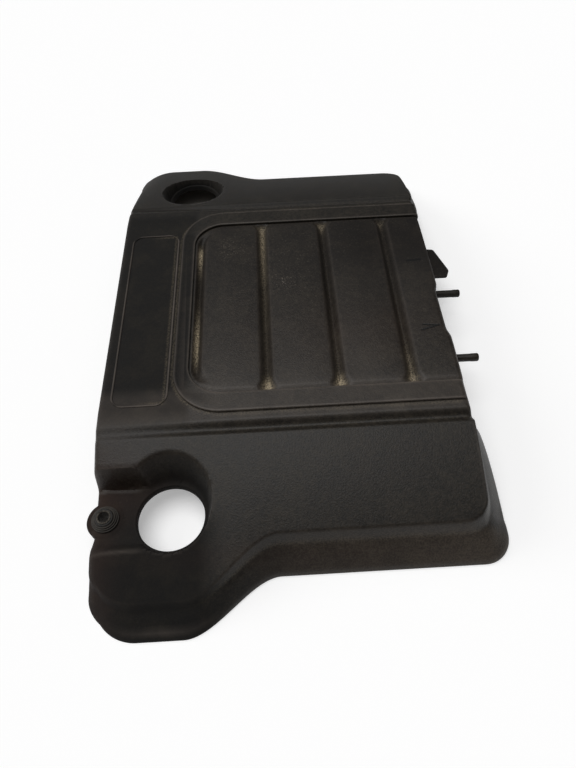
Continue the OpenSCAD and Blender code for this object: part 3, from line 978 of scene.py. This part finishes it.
# %% Bush and sleeve
bush_low, bush_high = (corner.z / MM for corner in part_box("front_bush"))
sleeve_low, sleeve_high = (corner.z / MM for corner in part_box("bush_sleeve"))
bore_r = 7.4
lower_r = 12.7
waist_r = 10.15
ridges = ((15.0, 2.6), (13.4, 4.5), (11.9, 6.3))  # radius, and height above the seat
bush_profile = [(bore_r, bush_low), (11.0, bush_low), (11.7, bush_low + 0.8), (lower_r, seat_z - 6.6),
                (lower_r, seat_z - 6.05), (waist_r, seat_z - 6.0), (waist_r, seat_z + 0.02),
                (14.4, seat_z + 0.02), (14.9, seat_z + 0.5)]
for radius, height in ridges:
    bush_profile += [(radius, seat_z + height - 0.7), (radius - 0.25, seat_z + height),
                     (radius - 0.8, seat_z + height + 0.25), (radius - 1.3, seat_z + height - 0.15)]
bush_profile += [(9.9, bush_high - 0.5), (9.3, bush_high), (8.1, bush_high), (bore_r, bush_high - 0.5)]
bush = turned("rubber_bush", bush_profile, bush_place)
sleeve_profile = [(5.7, sleeve_low), (6.9, sleeve_low), (6.9, sleeve_high - 1), (7.9, sleeve_high - 0.95),
                  (8.0, sleeve_high - 0.6), (7.8, sleeve_high - 0.15), (7.3, sleeve_high), (6.3, sleeve_high),
                  (5.75, sleeve_high - 0.5)]
sleeve = turned("steel_sleeve", sleeve_profile, bush_place)
for piece in (bush, sleeve):
    only(piece)
    bpy.ops.object.shade_smooth_by_angle(angle=math.radians(40))
print("bush has", len(bush.data.polygons), "faces, sleeve has", len(sleeve.data.polygons))

# %% [markdown]
# Dust settles where a moulding is hollow, and edges that stand proud are rubbed pale and carry a painted
# highlight. Both follow the shape, so they are worked out from it at every corner of the mesh and kept as
# named marks, which the material reads. Bend is the change of slope there: hollow places get a value above
# zero. A bell is a soft band, a spot a soft oval, a gap the distance from an outline, and rim_of is 1 where
# a gap is zero.

# %% Reading the shape
def bend(s, y, step):
    around = cover_height(s + step, y) + cover_height(s - step, y)
    around = around + cover_height(s, y + step) + cover_height(s, y - step)
    return (around - 4 * cover_height(s, y)) / step


def bell(t, centre, reach):
    return np.exp(-(((t - centre) / reach) ** 2))


def spot(s, y, centre, radius):
    return np.exp(-(((s - centre[0]) / radius[0]) ** 2 + ((y - centre[1]) / radius[1]) ** 2))


def rim_of(gap, width):
    return np.clip(1 - np.abs(gap) / width, 0, 1)


def border_gap(s, a, inset, radius):
    side_inset = inset * (border_side - field_half) / (field_s - border_s)
    u, v = s - border_s - inset, border_side - side_inset - a
    return np.where((u < radius) & (v < radius), radius - np.hypot(radius - u, radius - v), np.minimum(u, v))


def store(piece, name, values):
    layer = piece.data.attributes.new(name, "FLOAT", "POINT")
    layer.data.foreach_set("value", np.clip(values, 0, 1).astype(np.float32))
    print(name, "is", round(float(np.mean(np.clip(values, 0, 1))), 3), "on average")


corners = np.zeros(len(cover.data.vertices) * 3)
cover.data.vertices.foreach_get("co", corners)
corners = corners.reshape(-1, 3) / MM
s, y, z = corners[:, 0] - front_x, corners[:, 1], corners[:, 2]
a = np.abs(y)
curve = bend(s, y, 1.6)
outside = smooth((z - cover_height(np.clip(s, 1, 450), y) + 1.6) / 0.6)  # 0 on the inner face
field = smooth(field_depth(s, a) / 4)
past_bead = np.maximum(np.abs(s - (bead_start + bead_end) / 2) - (bead_end - bead_start) / 2,
                       np.abs(y - (bead_near + bead_far) / 2) - (bead_far - bead_near) / 2)
print("shape read at", len(s), "corners")

# %% [markdown]
# In the first groove the dust is a narrow stripe with two thick patches. The second groove is dusty towards
# its far end, and all three cross grooves hold a heap of dust at their near end. A thin line of it lies at
# the foot of the border, beside the bead, in the valleys and on the near skirt.

# %% Dust
stripe = rim_of(s - groove_s + 2, 4.5) ** 0.5
patches = 0.03 + 1.0 * spot(s, y, (groove_s, 88), (60, 24)) + 0.95 * spot(s, y, (groove_s, -64), (60, 34))
first_dust = stripe * patches * smooth((118 - a) / 25)
near_end = bell(y, -112, 24)
far_tip = bell(y, 136, 9)
second_dust = 0.05 + 0.30 * bell(y, 100, 60) + 0.08 * bell(y, 122, 26)
third_dust = 0.02 + 0.04 * near_end + 0.26 * far_tip
fourth_dust = 0.02 + 0.16 * near_end + 0.1 * far_tip
groove_no = np.clip(np.rint((s - groove_s) / pitch), 0, 3)
near_heap = np.where(groove_no > 0, bell(y, -134, 9), 0) * mix(1.0, 0.45, groove_no == 3)
cross_dust = np.select([groove_no == 1, groove_no == 2], [second_dust, third_dust], fourth_dust)
in_groove = pad_groove(s, a) * field
groove_dust = in_groove ** 2 * np.where(groove_no == 0, 1.1 * first_dust, 1.3 * cross_dust + near_heap)
valley = np.clip(curve, 0, 2) * (a > flat_half - 12) * hole_rim(s, y) * smooth((s - 60) / 120)
border_foot = rim_of(border_gap(s, a, 0, border_r) + 1.5, 2.2) * (s < plate_len - 8)
skirt_strip = smooth((s - 180) / 60) * smooth((-y - crease_half + 2) / 10)
skirt_strip = skirt_strip * (0.55 + 0.45 * smooth((s - 300) / 90))
bead_foot = rim_of(past_bead + 4.4, 2.0) * smooth((s - 40) / 30)
dust = groove_dust + 0.05 * valley + 0.18 * border_foot + 0.04 * skirt_strip + 0.16 * bead_foot
store(cover, "dust", dust * outside)

# %% [markdown]
# The edges that stand proud, the pads' shoulders, both rims of the border and the bead, are rubbed pale,
# and the same mark paints a highlight on them. The near border and the near pads get a painted sheen, and
# the lip of the near lobe a painted highlight, while the pocket's outer edge and the near skirt are rubbed
# paler.

# %% Rubbed edges and painted highlights
proud = np.clip(-curve, 0, 2) * mix(0.28, 0.10, smooth((a - 160) / 20))
border_rims = rim_of(border_gap(s, a, 0, border_r) - 1.2, 1.8)
border_rims = border_rims + rim_of(border_gap(s, a, field_s - border_s, field_r) + 1.2, 1.8)
border_rims = border_rims * (z > plate_h - 1.8) * (s < plate_len - 2)
bead_top = rim_of(past_bead + 1.2, 2.2) * (z > flat_z + 0.6) * (0.8 + 0.7 * smooth((s - 60) / 15))
# Painted sheen: the near border and the near pads are made a little paler.
near_border_sheen = 0.32 * smooth((-y - 128) / 18) * (1 - smooth((-y - 176) / 12))
near_pads_sheen = 0.12 * smooth(-y / 110) * field * (1 - smooth((s - 320) / 50))
pocket_edge = 0.35 * rim_of(-y - 309.5, 3.0) * (1 - smooth((s - 50) / 12))
# Painted highlight: a pale line along the rolled lip of the near lobe.
lobe_lip_highlight = 0.4 * rim_of(z - 7, 4) * smooth((-y - 345) / 25) * bell(s, 80, 45)
rubbed_and_highlight = lobe_lip_highlight + pocket_edge + 0.22 * skirt_strip + (near_border_sheen + near_pads_sheen)
rubbed_and_highlight = rubbed_and_highlight + 0.9 * proud + 0.6 * border_rims + 0.9 * bead_top
store(cover, "wear_and_highlight", rubbed_and_highlight * smooth((z - 2) / 5))

# %% [markdown]
# Three small scuffed places hold pale specks. Some places have faded to brown: the front of the near lobe,
# the pocket, the near skirt and the rear pads. And some are rougher than the rest and darkened with painted
# shade: the near lobe, the low lips, the hollows, the pocket, the front panel and the far half.

# %% Specks, brown, and dull places with painted shade
specks = 0.08 * field + 0.7 * spot(s, y, (150, 92), (11, 16)) + 0.55 * spot(s, y, (226, 24), (12, 15))
specks = specks + 0.5 * spot(s, y, (398, 47), (10, 5)) + 0.03 + 0.12 * spot(s, y, (190, 50), (60, 60))
store(cover, "specks", specks)

lobe_front = 0.5 * spot(s, y, (5, -330), (22, 90))
rear_pads = 0.25 * spot(s, y, (330, -60), (90, 50))
near_skirt = 0.35 * spot(s, y, (240, -318), (150, 14))
pocket_front = 0.6 * spot(s, y, (10, -235), (60, 40))
store(cover, "brown", lobe_front + 0.22 * skirt_strip + rear_pads + near_skirt + pocket_front + 0.1 * field)

# Painted shade: these places get a darker black, as well as a rougher surface.
pocket = 0.6 * (1 - pocket_rim(s, y)) * (y < -240)
front_panel = 0.9 * (1 - smooth((s - 100) / 12)) * (1 - smooth((a - 160) / 30))
near_lobe = 1.4 * (1 - smooth((s - 95) / 60)) * smooth((-y - 236) / 14) * (1 - 0.8 * smooth((z - 52) / 8))
in_hollow = 1 - hole_rim(s, y)
far_wing = 0.5 * smooth((y - 150) / 60)
far_pads = (0.45 + 0.5 * smooth((s - 230) / 120)) * smooth((y + 60) / 160) * field
low_lips = 0.3 * (1 - smooth((z - 12) / 10))
store(cover, "dull_and_painted_shade", pocket + front_panel + near_lobe + in_hollow + (far_wing + far_pads) + low_lips)

# %% [markdown]
# The moulding is satin black plastic with a fine sprayed grain. Noise of several sizes gives the grain, a
# leathery unevenness, mottling and large blotches. Dust, rubbed edges with their painted highlights and
# specks are their marks, broken up by that noise so that no edge of theirs is clean.

# %% Plastic surface
plastic = Finish("moulded_plastic")
place = plastic.place()
grain = plastic.noise(place, 1500.0, 2.0)
leather = plastic.noise(place, 520.0, 3.0, 0.6)
mottle = plastic.noise(place, 210.0, 4.0, 0.7)
blotch = plastic.noise(place, 26.0, 5.0, 0.65)
patch = plastic.noise(place, 7.0, 3.0)
dull_and_painted_shade = plastic.mark("dull_and_painted_shade")
speckled = plastic.mark("specks")
stretched = plastic.node("ShaderNodeMapping", {},
                         {"Vector": place, "Scale": (1.0, 7.0, 1.0), "Rotation": (0, 0, 0.5)})
scuffs = plastic.noise(stretched, 150.0, 2.0, 0.5).step(0.60, 0.72) * blotch.step(0.46, 0.60) * speckled
points = plastic.noise(place, 480.0, 1.0, 0.4).step(0.62, 0.72) * speckled
points = points * (0.35 + 0.65 * patch.step(0.40, 0.55))
thick_dust = plastic.mark("dust") * leather.step(0.34, 0.62) * (0.5 + 1.1 * blotch)
film = 0.012 * blotch.step(0.42, 0.66) * (0.4 + mottle) + 0.05 * leather.step(0.52, 0.70) * speckled
dusty = (thick_dust + film).math("MINIMUM", 0.92)
# Rubbed edges together with painted highlights and painted sheen.
wear_and_highlight = plastic.mark("wear_and_highlight") * (0.3 + 1.1 * blotch)
print("plastic surface has", len(plastic.tree.nodes), "nodes")

# %% [markdown]
# A short crack and a forked one show on the rear pad. A crack's darkness is worked out from the distance to
# its line: t is how far along the line the nearest point lies.

# %% Cracks
def crack(x, y, start, end, width):
    dx, dy = (end[0] - start[0]) * MM, (end[1] - start[1]) * MM
    u, v = x - (front_x + start[0]) * MM, y - start[1] * MM
    t = ((u * dx + v * dy) * (1 / (dx * dx + dy * dy))).math("MAXIMUM", 0.0).math("MINIMUM", 1.0)
    away = ((u - t * dx) ** 2.0 + (v - t * dy) ** 2.0) ** 0.5
    return 1.0 - away.step(width * 0.25 * MM, width * MM)


x_wire = plastic.node("ShaderNodeSeparateXYZ", {}, {"Vector": place}, "X")
y_wire = plastic.node("ShaderNodeSeparateXYZ", {}, {"Vector": place}, "Y")
cracks = crack(x_wire, y_wire, (391, 51), (408, 52), 3.0)
for start, end, width in (((389, -69), (411, -63), 2.2), ((392, -61), (408, -63), 2.0)):
    cracks = cracks.math("MAXIMUM", crack(x_wire, y_wire, start, end, width))
print("cracks add up to", len(plastic.tree.nodes), "nodes")

# %% [markdown]
# The colours are laid on in the order in which they came to the real cover: the black, darkened by painted
# shade where it is dull, the faded brown, the uneven bloom of old plastic, the rubbed places with their
# painted highlights and sheen, the specks, the dust and at last the cracks. Dust and dull places are rough
# too.

# %% Plastic colours
SATIN_BLACK, PAINTED_SHADE_BLACK = srgb(24, 22, 19), srgb(13, 12, 11)
FADED, BLOOM = srgb(46, 31, 25), srgb(47, 42, 36)
RUBBED_AND_HIGHLIGHT, SCUFFED = srgb(112, 103, 96), srgb(118, 111, 100)
TAN_DUST, CRACK_DARK = srgb(178, 163, 136), srgb(5, 5, 5)
# Painted shade: the black goes darker where the dull mark is high.
skin = plastic.mix(dull_and_painted_shade, SATIN_BLACK, PAINTED_SHADE_BLACK)
skin = plastic.mix((plastic.mark("brown") * (0.35 + blotch)).math("MINIMUM", 1.0), skin, FADED)
mottled = 0.55 * leather.step(0.42, 0.66) + 0.5 * mottle.step(0.42, 0.60)
skin = plastic.mix(mottled * (0.75 - 0.65 * dull_and_painted_shade), skin, BLOOM)
# Pale rubbed edges, with painted highlights and painted sheen mixed in.
skin = plastic.mix(wear_and_highlight * 0.55, skin, RUBBED_AND_HIGHLIGHT)
skin = plastic.mix((scuffs * 0.5 + points * 0.8).math("MINIMUM", 0.9), skin, SCUFFED)
skin = plastic.mix(dusty, skin, TAN_DUST)
skin = plastic.mix(cracks * 0.95, skin, CRACK_DARK)
relief = plastic.bump(grain * 0.5 + leather * 2.6 - cracks * 1.5, 0.00016, 0.9)
roughness = 0.34 + 0.10 * mottle + 0.08 * blotch + 0.4 * dusty + 0.4 * dull_and_painted_shade
plastic.wear(Base_Color=skin, Roughness=roughness, Normal=relief, Specular_IOR_Level=0.25)
plastic.dress(cover)
print("plastic has", len(plastic.tree.nodes), "nodes")

# %% [markdown]
# The rubber is duller, has a dusty bloom, and has a painted highlight along the edges of its three ridges,
# which are found by their height.

# %% Rubber
rubber = Finish("bush_rubber")
place = rubber.place()
bloom = rubber.noise(place, 160.0, 4.0, 0.7)
fine = rubber.noise(place, 1900.0, 2.0)
level = rubber.node("ShaderNodeSeparateXYZ", {}, {"Vector": place}, "Z")
ridge_highlight = 0.0
for radius, height in ridges:
    off = (level - (seat_z + height) * MM).math("ABSOLUTE")
    ridge_highlight = (1.0 - off.step(0.25 * MM, 0.6 * MM)) + ridge_highlight
tone = rubber.mix(bloom.step(0.45, 0.75) * 0.6, srgb(19, 18, 16), srgb(52, 47, 40))
# Painted highlight along the ridge edges.
tone = rubber.mix(ridge_highlight * (0.25 + 0.6 * bloom), tone, srgb(74, 69, 63))
rubber.wear(Base_Color=tone, Roughness=0.5 + 0.25 * bloom, Normal=rubber.bump(fine, 0.0001, 0.8),
            Specular_IOR_Level=0.4)
rubber.dress(bush)
print("rubber has", len(rubber.tree.nodes), "nodes")

# %% [markdown]
# The sleeve is dull plated steel with a brown tarnish and fine turning marks, which are noise pressed flat
# along the axis.

# %% Steel
steel = Finish("sleeve_steel")
place = steel.place()
tarnish = steel.noise(place, 260.0, 5.0, 0.7)
flat_place = steel.node("ShaderNodeMapping", {}, {"Vector": place, "Scale": (1.0, 1.0, 9.0)})
marks = steel.noise(flat_place, 900.0, 2.0)
tone = steel.mix(tarnish.step(0.4, 0.65), srgb(78, 74, 68), srgb(40, 34, 28))
steel.wear(Base_Color=tone, Metallic=0.8, Roughness=0.5 + 0.3 * tarnish,
           Normal=steel.bump(marks, 0.00006, 0.6))
steel.dress(sleeve)
print("steel has", len(steel.tree.nodes), "nodes")

# %% [markdown]
# Each piece rides on the one body of the part and takes the place of its plain CAD node. The finished
# model's box must stay inside the CAD model's box.

# %% Finish
bpy.context.view_layer.update()
for piece, slot, node in ((cover, "shell_plastic", "cover_shell"), (bush, "bush_rubber", "front_bush"),
                          (sleeve, "sleeve_steel", "bush_sleeve")):
    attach(piece, "root")
    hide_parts(node)
